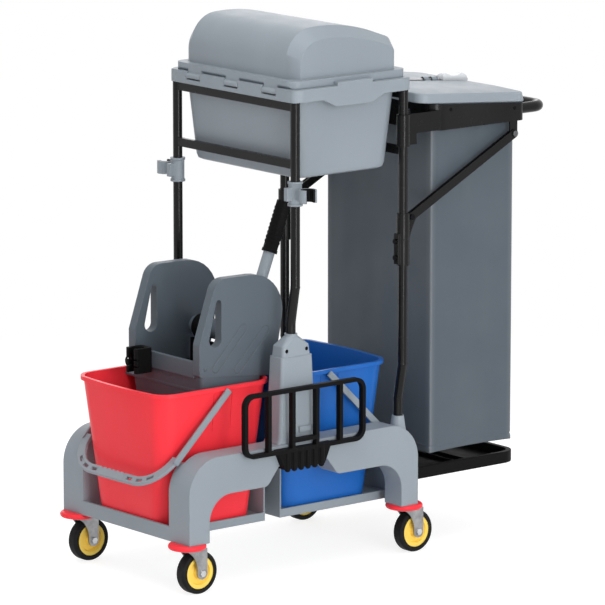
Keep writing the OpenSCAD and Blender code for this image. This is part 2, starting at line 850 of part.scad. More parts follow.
module supply_lid() {
  color(light_grey) placed() difference() {
    union() {
      difference() {
        translate([0, 0, flange_z]) linear_extrude(flange_h) flange_outline(0);
        along_y(-tub_w, tub_w) polygon([[hinge_x - 1, flange_z - 1], [hinge_x + 7, flange_z - 1],
          [hinge_x - 1, flange_z + 7]]);
      }
      dome(0, 0);
      at_knuckles() {
        rod_y(knuckle_r, -knuckle_w / 2, knuckle_w / 2);
        translate([0, -knuckle_w / 2, -2]) cube([knuckle_r + 1, knuckle_w, flange_z - hinge_z + 8]);
      }
    }
    translate([0, 0, flange_z - 1]) linear_extrude(flange_h - lid_wall + 1) flange_outline(10);
    dome(lid_wall, 10);
    translate([hinge_x, 0, hinge_z]) rod_y(hinge_pin_r + run, -hinge_len, hinge_len);
  }
}

// Outline of the hoop: large round corners in front, small ones behind
module hoop_outline(inset) {
  w = hoop_w - 2 * inset;
  r0 = hoop_r_front - inset;
  r1 = hoop_r_rear - inset;
  x0 = hoop_front + inset;
  x1 = hoop_rear - inset;
  translate([x0 + r0, -w / 2]) square([x1 - x0 - r0 - r1, w]);
  translate([x0, -w / 2 + r0]) square([r0 + eps, w - 2 * r0]);
  translate([x1 - r1 - eps, -w / 2 + r1]) square([r1 + eps, w - 2 * r1]);
  for (s = [-1, 1]) {
    translate([x0 + r0, s * (w / 2 - r0)]) circle(r0);
    translate([x1 - r1, s * (w / 2 - r1)]) circle(r1);
  }
}

// Sloping plane of the hoop's upper edge, with its own origin over the hoop's middle
module on_slope() {
  translate([hoop_x, 0, slope_z]) rotate([0, lid_slope, 0]) children();
}

// Everything above the hoop's upper edge
module above_slope() {
  on_slope() translate([-400, -400, 0]) cube([800, 800, 300]);
}

module bag_hoop() {
  color(black) placed() difference() {
    union() {
      difference() {
        translate([0, 0, hoop_z]) linear_extrude(hoop_h + 30) hoop_outline(0);
        translate([0, 0, hoop_z - 1]) linear_extrude(hoop_h + 32) hoop_outline(hoop_t);
      }
      for (s = [-1, 1]) side(s) along_y(hoop_w / 2 - hoop_t, hoop_w / 2) {
        translate([tab_x - tab_l / 2, brace_top_z]) square([tab_l, hoop_z - brace_top_z + 5]);
        translate([tab_x, brace_top_z]) circle(tab_l / 2 - 3);
      }
    }
    above_slope();
    translate([tab_x, 0, brace_top_z]) rod_y(bolt_r + run, -hoop_w, hoop_w);
  }
}

// Sleeve on a rear post with an arm to the hoop's front corner
module hoop_bracket(s) {
  arm_y = hoop_w / 2 - arm_t;
  color(black) placed() side(s) difference() {
    union() {
      translate([rear_post_x, post_y, bracket_z]) cylinder(r = post_r + collar_t, h = bracket_h);
      along_y(arm_y, hoop_w / 2) {
        translate([rear_post_x, hoop_z + 2]) square([hoop_gap + hoop_r_front - 14, arm_top_z - hoop_z - 2]);
        translate([rear_post_x, bracket_z]) square([44, hoop_z + 27 - bracket_z]);
      }
    }
    translate([rear_post_x, post_y, bracket_z - 1]) cylinder(r = post_r + fit, h = bracket_h + 2);
    translate([hoop_front + hoop_r_front, hoop_w / 2 - hoop_r_front, hoop_z - 1])
      cylinder(r = hoop_r_front + fit, h = hoop_h + 40);
    above_slope();
  }
}

// Moves the x axis onto the brace, from its lower pivot to its upper one
module along_brace() {
  translate([brace_low_x, side_mid, brace_low_z]) rotate([0, -brace_tilt, 0]) children();
}

// Channel that opens upwards, round at both ends
module brace(s) {
  floor_t = 3;
  color(black) placed() side(s) along_brace() difference() {
    union() {
      translate([0, -brace_w / 2, -brace_h / 2]) cube([brace_l, brace_w, brace_h]);
      for (x = [0, brace_l]) translate([x, 0, 0]) rod_y(brace_h / 2, -brace_w / 2, brace_w / 2);
    }
    translate([-20, -brace_slot / 2, -brace_h / 2 + floor_t]) cube([brace_l + 40, brace_slot, brace_h]);
    for (x = [0, brace_l]) translate([x, -brace_slot / 2, -brace_h]) cube_about(34, brace_slot, brace_h * 2);
    for (x = [0, brace_l]) translate([x, 0, 0]) rod_y(bolt_r + run, -brace_w, brace_w);
  }
}

module cube_about(l, w, h) {
  translate([-l / 2, 0, 0]) cube([l, w, h]);
}

// Sleeve on a rear post with a pivot lug and a curved gusset under the brace
module brace_clamp(s) {
  gusset_l = 66;
  gusset_run = 89;
  under = brace_h / 2 + seat;
  lug_r = 9;
  color(black) placed() side(s) difference() {
    union() {
      translate([rear_post_x, post_y, clamp_z]) cylinder(r = post_r + collar_t, h = clamp_h);
      translate([rear_post_x - post_r - collar_t - 6, post_y - 8, clamp_z + 4]) cube([12, 16, 72]);
      along_y(side_mid - hoop_t / 2, side_mid + hoop_t / 2) {
        translate([rear_post_x, brace_low_z - lug_r]) square([brace_low_x - rear_post_x, 2 * lug_r]);
        translate([brace_low_x, brace_low_z]) circle(lug_r);
        difference() {
          translate([rear_post_x, clamp_z + 2]) square([gusset_run, 140]);
          translate([brace_low_x, brace_low_z]) rotate(brace_tilt) translate([-60, -under]) square([300, 200]);
          translate([rear_post_x + gusset_run, clamp_z - 6]) circle(gusset_l);
        }
      }
    }
    translate([rear_post_x, post_y, clamp_z - 1]) cylinder(r = post_r + fit, h = clamp_h + 2);
    translate([brace_low_x, 0, brace_low_z]) rod_y(bolt_r + run, 0, hoop_w);
    at_clamp_bolts() clamp_bolt(run);
  }
}

module at_clamp_bolts() {
  for (dz = [20, 58]) translate([rear_post_x - post_r - collar_t - 6, post_y, clamp_z + dz]) children();
}

// Bolt in a clamp's block, along X, with its head in front
module clamp_bolt(gap) {
  rotate([0, 90, 0]) cylinder(r = 3 + gap, h = 9);
  translate([-5 - gap, 0, 0]) rotate([0, 90, 0]) cylinder(r = 6, h = 5 + gap);
}

module bag_holder_bolts() {
  color(steel) placed() for (s = [-1, 1]) side(s) {
    for (p = [[tab_x, brace_top_z], [brace_low_x, brace_low_z]]) translate([p[0], side_mid, p[1]]) {
      rod_y(bolt_r, -brace_w / 2 - eps, brace_w / 2 + eps);
      for (a = [-1, 1]) side(a) rod_y(bolt_head, brace_w / 2, brace_w / 2 + bolt_head_t);
    }
    at_clamp_bolts() clamp_bolt(0);
    translate([rear_post_x + 24, hoop_w / 2 - arm_t / 2, arm_top_z]) {
      cylinder(r = bolt_head - 2, h = bolt_head_t);
      cylinder(r = bolt_r, h = bolt_head_t + 7);
    }
  }
}

// U-shaped tube behind the hoop
module push_handle() {
  bar_x = hoop_rear + handle_reach - handle_r;
  leg_l = bar_x - handle_bend - hoop_rear;
  color(black) placed() translate([0, 0, handle_z]) {
    for (s = [-1, 1]) side(s) {
      translate([hoop_rear, handle_y, 0]) rotate([0, 90, 0]) cylinder(r = handle_r, h = leg_l);
      translate([bar_x - handle_bend, handle_y - handle_bend, 0]) rotate_extrude(angle = 90)
        translate([handle_bend, 0]) circle(handle_r);
    }
    translate([bar_x, 0, 0]) rod_y(handle_r, -handle_y + handle_bend, handle_y - handle_bend);
  }
}

// Outline of the platform: square at the base, round behind
module platform_outline(inset) {
  r = 42 - inset;
  x0 = base_rear + inset;
  x1 = base_rear + platform_l - inset;
  w = platform_w - 2 * inset;
  translate([x0, -w / 2]) square([x1 - x0 - r, w]);
  translate([x1 - r - eps, -w / 2 + r]) square([r + eps, w - 2 * r]);
  for (s = [-1, 1]) translate([x1 - r, s * (w / 2 - r)]) circle(r);
}

module bag_platform() {
  ribs = [0.58, 0.68];
  color(black) placed() {
    difference() {
      translate([0, 0, platform_z]) linear_extrude(platform_h) platform_outline(0);
      translate([0, 0, platform_z + platform_t]) linear_extrude(platform_h) platform_outline(platform_rim);
    }
    for (at = ribs) translate([base_rear + at * platform_l, -platform_w / 2 + 8, platform_z + 1])
      cube([6, platform_w - 16, platform_t + 5]);
  }
}

// Bag: open shell with a hem that lies on the hoop's upper edge
module waste_bag() {
  bag_r = 14;
  color(bag_grey) placed() difference() {
    union() {
      difference() {
        translate([hoop_x, 0, bag_z]) linear_extrude(slope_z + 40 - bag_z) rounded_rect(bag_l, bag_w, bag_r);
        above_slope();
      }
      on_slope() linear_extrude(hem_t) translate([-hoop_x, 0]) hoop_outline(0.5);
    }
    translate([hoop_x, 0, bag_z + bag_wall]) linear_extrude(slope_z + 80 - bag_z)
      rounded_rect(bag_l - 2 * bag_wall, bag_w - 2 * bag_wall, bag_r - bag_wall);
  }
}

// One half of the bag lid's outer form, shrunk by a wall for its inside
module flap_form(inset, drop) {
  $fn = blend_fn;
  z0 = hem_t + seat - drop;
  l = flap_rear - flap_front - 2 * inset;
  half = flap_half - inset;
  mid = (flap_rear + flap_front) / 2;
  hull() {
    translate([mid, 0, z0]) linear_extrude(eps) rounded_rect(l, 2 * half, 30 - inset);
    translate([mid, 0, hem_t + flap_edge - inset]) linear_extrude(eps)
      rounded_rect(l - 10, 2 * half - 10, 26 - inset);
    translate([mid, 0, hem_t + flap_crown - inset]) linear_extrude(eps)
      rounded_rect(l - 60, 2 * half - 120, 26 - inset);
  }
}

// Eye of a lid flap round the centre rod
module flap_eye(x) {
  translate([x, 0, rod_z]) rotate([0, 90, 0]) cylinder(r = eye_out, h = eye_w);
  translate([x, 0, rod_z - eye_out]) cube([eye_w, flap_gap + 2, eye_out]);
}

module bag_lid(s) {
  eyes = s < 0 ? [-110, 5] : [-85, 30];
  color(light_grey) placed() on_slope() side(s) difference() {
    union() {
      difference() {
        flap_form(0, 0);
        flap_form(flap_wall, 5);
        translate([-400, -400 + flap_gap, -50]) cube([800, 400, 200]);
        translate([grip_x - grip_l / 2 - 2, 0, -50]) cube([grip_l + 4, grip_notch, 200]);
      }
      for (x = eyes) flap_eye(x);
    }
    translate([-300, 0, rod_z]) rotate([0, 90, 0]) cylinder(r = rod_r + run, h = 600);
  }
}

module bag_lid_rod() {
  color(steel) placed() on_slope() {
    translate([-rod_half, 0, rod_z]) rotate([0, 90, 0]) cylinder(r = rod_r, h = 2 * rod_half);
    for (s = [-1, 1]) translate([s * rod_half, 0, 0]) {
      translate([0, 0, hem_t]) cylinder(r = rod_r, h = rod_z - hem_t);
      translate([0, 0, rod_z]) sphere(r = rod_r);
    }
  }
}

// Saddle grip that clasps the rod between the two flaps
module bag_lid_grip() {
  half = 12;
  low = -7;
  top = 15;
  dip_r = 60;
  color(light_grey) placed() on_slope() translate([grip_x, 0, rod_z]) difference() {
    intersection() {
      along_x(grip_l) {
        translate([-half, low]) square([2 * half, top - half - low]);
        translate([0, top - half]) circle(half);
      }
      along_y(-half - 1, half + 1) difference() {
        translate([0, (low + top) / 2]) rounded_rect(grip_l, top - low, 9);
        translate([0, top + dip_r - 5]) circle(dip_r);
      }
    }
    translate([-grip_l, 0, 0]) rotate([0, 90, 0]) cylinder(r = rod_r + fit, h = 2 * grip_l);
  }
}

// Outline of a bucket at a height, with a bowed outer end
module bucket_outline(l, w, r, bow) {
  rounded_rect(l, w, r, $fn = blend_fn);
  intersection() {
    translate([bow_r - l / 2 - bow, 0]) circle(bow_r, $fn = 240);
    translate([-l / 2 - bow, -w / 2 + r]) square([l / 2, w - 2 * r]);
  }
}

// Bucket's tapered form; inset shrinks it to the inside
module bucket_form(inset, z0, z1) {
  hull() {
    translate([0, 0, z0]) linear_extrude(eps) bucket_outline(bucket_top_l - 2 * bucket_lean - 2 * inset,
      bucket_top_w - 2 * bucket_lean - 2 * inset, bucket_r - inset, 0);
    translate([0, 0, z1 - eps]) linear_extrude(eps)
      bucket_outline(bucket_top_l - 2 * inset, bucket_top_w - 2 * inset, bucket_r - inset, bucket_bow);
  }
}

// Bucket with rolled rim, pouring bow at its outer end and bail pins at the sides
module bucket() {
  translate([-bucket_x, 0, 0]) difference() {
    union() {
      bucket_form(0, bucket_z, rim_z);
      translate([0, 0, rim_z - rim_h]) linear_extrude(rim_h) difference() {
        bucket_outline(bucket_l, bucket_w, bucket_r + rim_lip, bucket_bow);
        bucket_outline(bucket_top_l - 2 * bucket_wall, bucket_top_w - 2 * bucket_wall, bucket_r - bucket_wall,
          bucket_bow);
      }
      for (s = [-1, 1]) side(s) translate([pin_shift, 0, pin_z - 16])
        rod_y(pin_r, bucket_w / 2 - 10, bail_out - arm_skin - seat);
    }
    bucket_form(bucket_wall, bucket_z + bucket_wall, rim_z + 1);
    for (s = [-1, 1], dx = [-26, 26]) side(s) translate([pin_shift + dx, bucket_top_w / 2, rim_z - rim_h])
      rotate([-atan2(bucket_lean, bucket_h), 0, 0]) translate([-1, -2, -95]) cube([2, 4, 90]);
  }
}

module red_bucket() {
  color(red) placed() bucket();
}

module blue_bucket() {
  color(blue) placed() mirror([1, 0, 0]) bucket();
}

// Front view of the bail strap, hanging down from its pins
module bail_outline(half, reach, r) {
  translate([-half, -reach + r]) square([2 * half, reach - r]);
  translate([-half + r, -reach]) square([2 * half - 2 * r, reach]);
  for (s = [-1, 1]) translate([s * (half - r), -reach + r]) circle(r);
}

// Extrudes a front view (y, z) along X, centred
module along_x(w) {
  rotate([90, 0, 90]) linear_extrude(w, center = true) children();
}

// Flat U-shaped strap on two narrow arms; slots beside a waved grip
module bail(angle) {
  waves = 6;
  wave = 2 * grip_half / waves;
  outer = bail_reach + bail_w / 2;
  inner = bail_reach - bail_w / 2;
  translate([-pin_x, 0, pin_z - 16]) rotate([0, angle, 0]) difference() {
    union() {
      for (s = [-1, 1]) side(s) {
        translate([-arm_w / 2, bail_in, -bail_step - arm_w]) cube([arm_w, bail_t, bail_step + arm_w + arm_up]);
      }
      along_x(strap_t) difference() {
        bail_outline(bail_out, outer, bail_corner);
        bail_outline(bail_out - bail_w, inner, bail_corner - bail_w);
        translate([-bail_out - 1, -bail_step]) square([2 * bail_out + 2, bail_step + 1]);
      }
      along_x(grip_t) translate([-grip_half, -outer]) square([2 * grip_half, bail_w]);
    }
    for (s = [-1, 1]) side(s) {
      rod_y(pin_r + run, bail_in - 1, bail_out - arm_skin);
      translate([0, grip_half + 8 + slot_l / 2, -bail_reach]) bail_slot();
      for (a = [14, 36]) translate([0, bail_out - bail_corner, bail_corner - outer]) rotate([a, 0, 0])
        translate([0, 0, bail_w / 2 - bail_corner]) bail_slot();
    }
    for (i = [0:waves - 1]) translate([-grip_t, (i + 0.5) * wave - grip_half, 3.5 - inner])
      rotate([0, 90, 0]) cylinder(r = 6, h = 2 * grip_t);
  }
}

// Slot through the bail's strap, along Y
module bail_slot() {
  along_x(2 * grip_t) square([slot_l, slot_w], center = true);
}

module red_bail() {
  color(light_grey) placed() bail(bail_angle);
}

module blue_bail() {
  color(light_grey) placed() mirror([1, 0, 0]) bail(bail_angle);
}

// Side view of a wringer cheek: sloping front, broad round back
module cheek_profile() {
  $fn = blend_fn;
  back_r = 90;
  corner = 6;
  x0 = wringer_front + cheek_set;
  hull() {
    translate([x0 + corner, basket_top + corner]) circle(corner);
    translate([x0 + corner, rim_z + 94]) circle(corner);
    translate([x0 + 77, rim_z + 204]) circle(38);
    translate([-50, rim_z + 151]) circle(back_r);
    translate([wringer_rear + 28 - corner, rim_z + corner + seat]) circle(corner);
  }
}

// Teardrop window in a cheek
module teardrop() {
  $fn = blend_fn;
  hull() {
    translate([wringer_front + 60, rim_z + 103]) circle(18);
    translate([wringer_front + 70, rim_z + 186]) circle(8);
  }
}

// Shallow outlines of two round-ended ribs on the outside of a cheek
module cheek_grooves() {
  groove = 1;
  for (i = [0, 1]) translate([wringer_front + 53 + i * 64, 0, rim_z + 28 - i * 10]) rotate([0, -46, 0])
    along_y(plate_out - groove, plate_out + 1) difference() {
      translate([groove_l / 2, 0]) rounded_rect(groove_l, groove_w, groove_w / 2 - eps);
      translate([groove_l / 2, 0]) rounded_rect(groove_l - 3, groove_w - 3, groove_w / 2 - 1.5 - eps);
    }
}

// Basket below the cheeks, seen from above its own middle
module basket_form(inset, z0) {
  top_l = wringer_rear - 4 - (wringer_front + 19) - 2 * inset;
  mid = (wringer_rear - 4 + wringer_front + 19) / 2;
  translate([mid, 0, 0]) hull() {
    translate([-2, 0, z0]) linear_extrude(eps)
      rounded_rect(top_l - 34, 2 * basket_half - 2 * inset - 20, 10, $fn = blend_fn);
    translate([0, 0, basket_top - eps]) linear_extrude(eps)
      rounded_rect(top_l, 2 * basket_half - 2 * inset, 10, $fn = blend_fn);
  }
}

// Inside half width of the bucket at a height
function bucket_half_at(z) = bucket_top_w / 2 - bucket_wall - bucket_lean * (rim_z - z) / bucket_h;

module wringer_body() {
  arches = 4;
  arch_pitch = 46;
  slots = 5;
  mid = (wringer_front + wringer_rear) / 2;
  deck_half = bucket_half_at(deck_z) - seat;
  color(slate) placed() difference() {
    union() {
      for (s = [-1, 1]) side(s) along_y(plate_in, plate_out) difference() {
        cheek_profile();
        teardrop();
      }
      difference() {
        union() {
          basket_form(0, basket_z);
          translate([wringer_front + 22, -deck_half, deck_z]) cube([135, 2 * deck_half, deck_t]);
        }
        basket_form(basket_wall, basket_z + basket_wall);
      }
      translate([wringer_front + cheek_set + 1, -plate_in - 1, basket_top]) cube([9, 2 * plate_in + 2, 34]);
      translate([wringer_front + cheek_set + 1, -plate_in - 1, basket_top - 4]) cube([13, 2 * plate_in + 2, 5]);
    }
    translate([shaft_x, 0, shaft_z]) rod_y(journal_r + run, seat - plate_out + 3.5, plate_out - 3.5 - seat);
    for (s = [-1, 1]) side(s) cheek_grooves();
    for (i = [0:slots - 1], j = [-1, 0, 1])
      translate([mid + (i - (slots - 1) / 2) * 26 - 5, j * 62 - 24, basket_z - 1]) cube([10, 48, 20]);
    for (i = [0:arches - 1])
      translate([wringer_front + 16, (i - (arches - 1) / 2) * arch_pitch, basket_top - 22]) {
        rotate([0, 90, 0]) cylinder(r = 11, h = 5);
        translate([0, -11, -70]) cube([5, 22, 70]);
      }
  }
}

// Turns the z axis along the lever
module along_lever() {
  translate([shaft_x, lever_y, shaft_z]) rotate([0, lever_lean, 0]) children();
}

// Cross shaft in the cheeks with the lever tube welded to it
module wringer_lever() {
  shaft_end = plate_in - 1;
  color(light_grey) placed() {
    translate([shaft_x, 0, shaft_z]) {
      rod_y(shaft_r, -shaft_end, shaft_end - 18);
      rod_y(journal_r, -plate_out + 4, plate_out - 4);
    }
    along_lever() cylinder(r = lever_r, h = lever_l - 6);
  }
}

// Ribbed sleeve over the end of the lever tube
module lever_grip() {
  rings = 9;
  sleeve = 3.5;
  color(black) placed() along_lever() translate([0, 0, lever_l - lever_grip_l]) difference() {
    union() {
      cylinder(r = lever_r + sleeve, h = lever_grip_l);
      cylinder(r = lever_r + sleeve + 1.5, h = 7);
      for (i = [0:rings - 1]) translate([0, 0, 22 + i * 10]) cylinder(r = lever_r + sleeve + 1, h = 5);
    }
    translate([0, 0, -1]) cylinder(r = lever_r + fit, h = lever_grip_l - 5 + seat);
  }
}

// Plate on two arms that swings with the shaft
module press_plate() {
  plate_half = plate_in - 9;
  plate_h = 118;
  plate_t = 8;
  drop = 148;
  arm_w = 22;
  ribs = 7;
  color(black) placed() translate([shaft_x, 0, shaft_z]) difference() {
    union() {
      translate([-plate_t - 3, -plate_half, -drop]) cube([plate_t, 2 * plate_half, plate_h]);
      for (y = [-62, 62]) {
        translate([-plate_t - 3, y - arm_w / 2, -drop + plate_h - 2]) cube([plate_t, arm_w, drop - plate_h]);
        translate([0, y, 0]) rod_y(shaft_r + 6, -arm_w / 2, arm_w / 2);
      }
      for (i = [0:ribs - 1]) translate([-plate_t - 7, (i - (ribs - 1) / 2) * 28 - 3, -drop + 4])
        cube([5, 6, plate_h - 8]);
    }
    rod_y(shaft_r + fit, -plate_out, plate_out);
  }
}

// Mop-handle clip on the wringer's front bar, with a wire loop
module mop_clip() {
  l = 46;
  w = 42;
  h = 58;
  y = 66;
  mouth = 22;
  x1 = wringer_front + cheek_set + 1;
  color(black) placed() translate([x1 - l / 2, y, basket_top + 34 - h + 10]) {
    difference() {
      linear_extrude(h) difference() {
        rounded_rect(l, w, 5);
        translate([-3, 0]) circle(tool_d / 2 + 3);
        translate([-l, -mouth / 2]) square([l - 3, mouth]);
      }
      for (z = [14, 30]) translate([-l, -w, z]) cube([l * 0.7, 2 * w, 4]);
    }
    translate([-6, w / 2 + 9, h / 2 - 8]) rotate([90, 0, 90]) rotate_extrude()
      translate([11, 0]) circle(2.5, $fn = 24);
  }
}

chassis();
bumper_rings();
caster_stems();
caster_fork(true, -1);  // caster_fork_front_left
caster_fork(true, 1);  // caster_fork_front_right
caster_fork(false, -1);  // caster_fork_rear_left
caster_fork(false, 1);  // caster_fork_rear_right
caster_axle(true, -1);  // caster_axle_front_left
caster_axle(true, 1);  // caster_axle_front_right
caster_axle(false, -1);  // caster_axle_rear_left
caster_axle(false, 1);  // caster_axle_rear_right
wheel_hub(true, -1);  // wheel_hub_front_left
wheel_hub(true, 1);  // wheel_hub_front_right
wheel_hub(false, -1);  // wheel_hub_rear_left
wheel_hub(false, 1);  // wheel_hub_rear_right
wheel_tyre(true, -1);  // wheel_tyre_front_left
wheel_tyre(true, 1);  // wheel_tyre_front_right
wheel_tyre(false, -1);  // wheel_tyre_rear_left
wheel_tyre(false, 1);  // wheel_tyre_rear_right
post_shroud(-1);  // post_shroud_left
post_shroud(1);  // post_shroud_right
shroud_screws();
post(true, -1);  // front_left_post
post(true, 1);  // front_right_post
post(false, -1);  // rear_left_post
post(false, 1);  // rear_right_post
cross_bars(front_post_x);  // front_cross_bars
cross_bars(rear_post_x);  // rear_cross_bars
tool_clip(-1);  // tool_clip_left
tool_clip(1);  // tool_clip_right
tool_clip_rubber(-1);  // tool_clip_rubber_left
tool_clip_rubber(1);  // tool_clip_rubber_right
side_rack();
supply_tub();
supply_lid();
lid_hinge_pin();
bag_hoop();
hoop_bracket(-1);  // hoop_bracket_left
hoop_bracket(1);  // hoop_bracket_right
brace(-1);  // brace_left
brace(1);  // brace_right
brace_clamp(-1);  // brace_clamp_left
brace_clamp(1);  // brace_clamp_right
bag_holder_bolts();
push_handle();
bag_platform();
waste_bag();
bag_lid(-1);  // bag_lid_left
bag_lid(1);  // bag_lid_right
bag_lid_rod();
bag_lid_grip();
red_bucket();
red_bail();
blue_bucket();
blue_bail();
wringer_body();
wringer_lever();
lever_grip();
press_plate();
mop_clip();
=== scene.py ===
import json
import math

import bmesh
import bpy
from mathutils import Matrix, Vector


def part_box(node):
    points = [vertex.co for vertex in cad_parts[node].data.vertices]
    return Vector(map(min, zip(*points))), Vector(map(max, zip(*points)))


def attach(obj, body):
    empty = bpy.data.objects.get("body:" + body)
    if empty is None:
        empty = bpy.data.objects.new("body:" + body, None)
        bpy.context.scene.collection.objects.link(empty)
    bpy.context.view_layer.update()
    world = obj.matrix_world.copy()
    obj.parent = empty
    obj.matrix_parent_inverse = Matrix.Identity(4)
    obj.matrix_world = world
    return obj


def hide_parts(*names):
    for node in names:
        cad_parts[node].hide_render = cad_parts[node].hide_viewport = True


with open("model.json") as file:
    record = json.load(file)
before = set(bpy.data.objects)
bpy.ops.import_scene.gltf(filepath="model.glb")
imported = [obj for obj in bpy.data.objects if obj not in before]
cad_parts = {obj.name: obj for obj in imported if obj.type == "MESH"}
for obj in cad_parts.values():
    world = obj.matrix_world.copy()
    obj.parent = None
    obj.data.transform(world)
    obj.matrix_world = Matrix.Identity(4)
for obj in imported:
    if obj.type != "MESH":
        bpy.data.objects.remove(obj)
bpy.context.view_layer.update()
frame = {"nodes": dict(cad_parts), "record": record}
nodes = frame["nodes"]
scene = bpy.context.scene

# Camera at the photograph's viewing angle
CAM_POS = (-7.39286, -9.08945, 2.85894)
CAM_AZ, CAM_EL = -39.0627, 10.9991
CAM_LENS = 303.24

# Sizes shared with the CAD source, in metres: hoop, slope of its upper edge and bag
hoop_low, hoop_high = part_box("bag_hoop")
HOOP_X = (hoop_low.x + hoop_high.x) / 2
HOOP_L, HOOP_W = hoop_high.x - hoop_low.x, hoop_high.y - hoop_low.y
HOOP_R_FRONT, HOOP_R_REAR = 0.040, 0.018
HOOP_MID_X = 0.565
SLOPE_Z = 0.993 + 0.0526
SLOPE = math.radians(4.5)
BAG_L, BAG_W = 0.252, 0.380
BAG_Z = 0.223
BAG_CORNER = 0.006
BAG_WALL = 0.0016

# Points round a bag corner and along a bag side
CORNER_STEPS, SIDE_STEPS = 4, 26

# The bag holder's bolts are dark below this x, and the lever is slate below this z
BOLT_DARK_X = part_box("brace_clamp_right")[1].x + 0.02
LEVER_SLATE_Z = 0.575


def srgb(r, g, b):
    """Linear colour of an sRGB triple from 0 to 255."""
    def lin(c):
        c /= 255
        return c / 12.92 if c <= 0.04045 else ((c + 0.055) / 1.055) ** 2.4
    return (lin(r), lin(g), lin(b), 1.0)


GREY = srgb(141, 150, 158)
SLATE = srgb(86, 96, 105)
RED = srgb(248, 54, 66)
BLUE = srgb(32, 102, 186)
YELLOW = srgb(252, 218, 98)
BAG = srgb(77, 87, 96)


class Graph:
    """A material's node tree with short calls for the nodes that it needs."""

    def __init__(self, name):
        self.mat = bpy.data.materials.new(name)
        self.mat.use_nodes = True
        self.tree = self.mat.node_tree
        self.bsdf = self.tree.nodes["Principled BSDF"]
        self.coord = self.add("ShaderNodeTexCoord").outputs["Object"]

    @classmethod
    def on_tree(cls, tree):
        graph = cls.__new__(cls)
        graph.tree = tree
        return graph

    def add(self, kind, **values):
        node = self.tree.nodes.new(kind)
        for key, value in values.items():
            setattr(node, key, value)
        return node

    def link(self, a, b):
        self.tree.links.new(a, b)

    def feed(self, value, socket):
        """Links another node's output to a socket, or sets a plain value."""
        if hasattr(value, "is_linked"):
            self.link(value, socket)
        else:
            socket.default_value = value

    def noise(self, scale, detail=2.0, rough=0.5, vector=None):
        node = self.add("ShaderNodeTexNoise")
        node.inputs["Scale"].default_value = scale
        node.inputs["Detail"].default_value = detail
        node.inputs["Roughness"].default_value = rough
        self.link(vector or self.coord, node.inputs["Vector"])
        return node.outputs["Fac"]

    def stretch(self, x, y, z):
        node = self.add("ShaderNodeMapping")
        node.inputs["Scale"].default_value = (x, y, z)
        self.link(self.coord, node.inputs["Vector"])
        return node.outputs["Vector"]

    def span(self, value, low, high, out_low, out_high):
        node = self.add("ShaderNodeMapRange")
        node.inputs["From Min"].default_value = low
        node.inputs["From Max"].default_value = high
        node.inputs["To Min"].default_value = out_low
        node.inputs["To Max"].default_value = out_high
        self.link(value, node.inputs["Value"])
        return node.outputs["Result"]

    def mix(self, fac, a, b):
        node = self.add("ShaderNodeMix", data_type="RGBA", blend_type="MIX")
        for value, place in ((fac, 0), (a, 6), (b, 7)):
            self.feed(value, node.inputs[place])
        return node.outputs[2]

    def math(self, op, a, b):
        node = self.add("ShaderNodeMath", operation=op)
        for place, value in enumerate((a, b)):
            self.feed(value, node.inputs[place])
        return node.outputs[0]

    def bump(self, height, strength, distance, normal=None):
        node = self.add("ShaderNodeBump")
        node.inputs["Strength"].default_value = strength
        node.inputs["Distance"].default_value = distance
        self.link(height, node.inputs["Height"])
        if normal is not None:
            self.link(normal, node.inputs["Normal"])
        return node.outputs["Normal"]

    def rounded(self, radius):
        node = self.add("ShaderNodeBevel", samples=4)
        node.inputs["Radius"].default_value = radius
        return node.outputs["Normal"]

    def edges(self, rounded_normal):
        """0 on flat faces, towards 1 where an edge is rounded."""
        geo = self.add("ShaderNodeNewGeometry")
        dot = self.add("ShaderNodeVectorMath", operation="DOT_PRODUCT")
        self.link(rounded_normal, dot.inputs[0])
        self.link(geo.outputs["Normal"], dot.inputs[1])
        return self.span(dot.outputs["Value"], 0.995, 0.80, 0.0, 1.0)


def darker(colour, k):
    return tuple(c * k for c in colour[:3]) + (1.0,)


def lighter(colour, k):
    return tuple(c + (1 - c) * k for c in colour[:3]) + (1.0,)


def moulded(name, colour, rough, edge=0.0018, grain=0.10, edge_wear_and_highlight=0.10, coat=0.0, spec=0.32):
    """Injection-moulded plastic: fine grain, faint flow marks, rounded edges lightened as slight wear
    and as a painted highlight.
    """
    g = Graph(name)
    flow = g.noise(3.2, 4, 0.55, g.stretch(1.0, 1.0, 0.35))
    speck = g.noise(260, 2, 0.6)
    tone = g.mix(g.span(flow, 0.3, 0.7, 0.0, 1.0), darker(colour, 0.94), darker(colour, 1.05))
    tone = g.mix(g.span(speck, 0.35, 0.65, 0.0, 0.10), tone, darker(colour, 0.80))
    normal = g.rounded(edge)
    # Edges are lightened for slight wear and, where the amount is large, as a painted highlight along
    # them
    rub = g.math("MULTIPLY", g.edges(normal), g.span(g.noise(38, 3), 0.35, 0.7, 0.15, 1.0))
    tone = g.mix(g.math("MULTIPLY", rub, edge_wear_and_highlight), tone, lighter(colour, 0.32))
    g.link(tone, g.bsdf.inputs["Base Color"])
    g.link(g.span(g.noise(21, 4, 0.6), 0.3, 0.7, rough - 0.05, rough + 0.06), g.bsdf.inputs["Roughness"])
    fine = g.bump(g.noise(1500, 2, 0.6), grain, 0.0004, normal)
    g.link(g.bump(g.noise(14, 2), 0.04, 0.004, fine), g.bsdf.inputs["Normal"])
    g.bsdf.inputs["Specular IOR Level"].default_value = spec
    if coat:
        g.bsdf.inputs["Coat Weight"].default_value = coat
        g.bsdf.inputs["Coat Roughness"].default_value = 0.25
    return g.mat


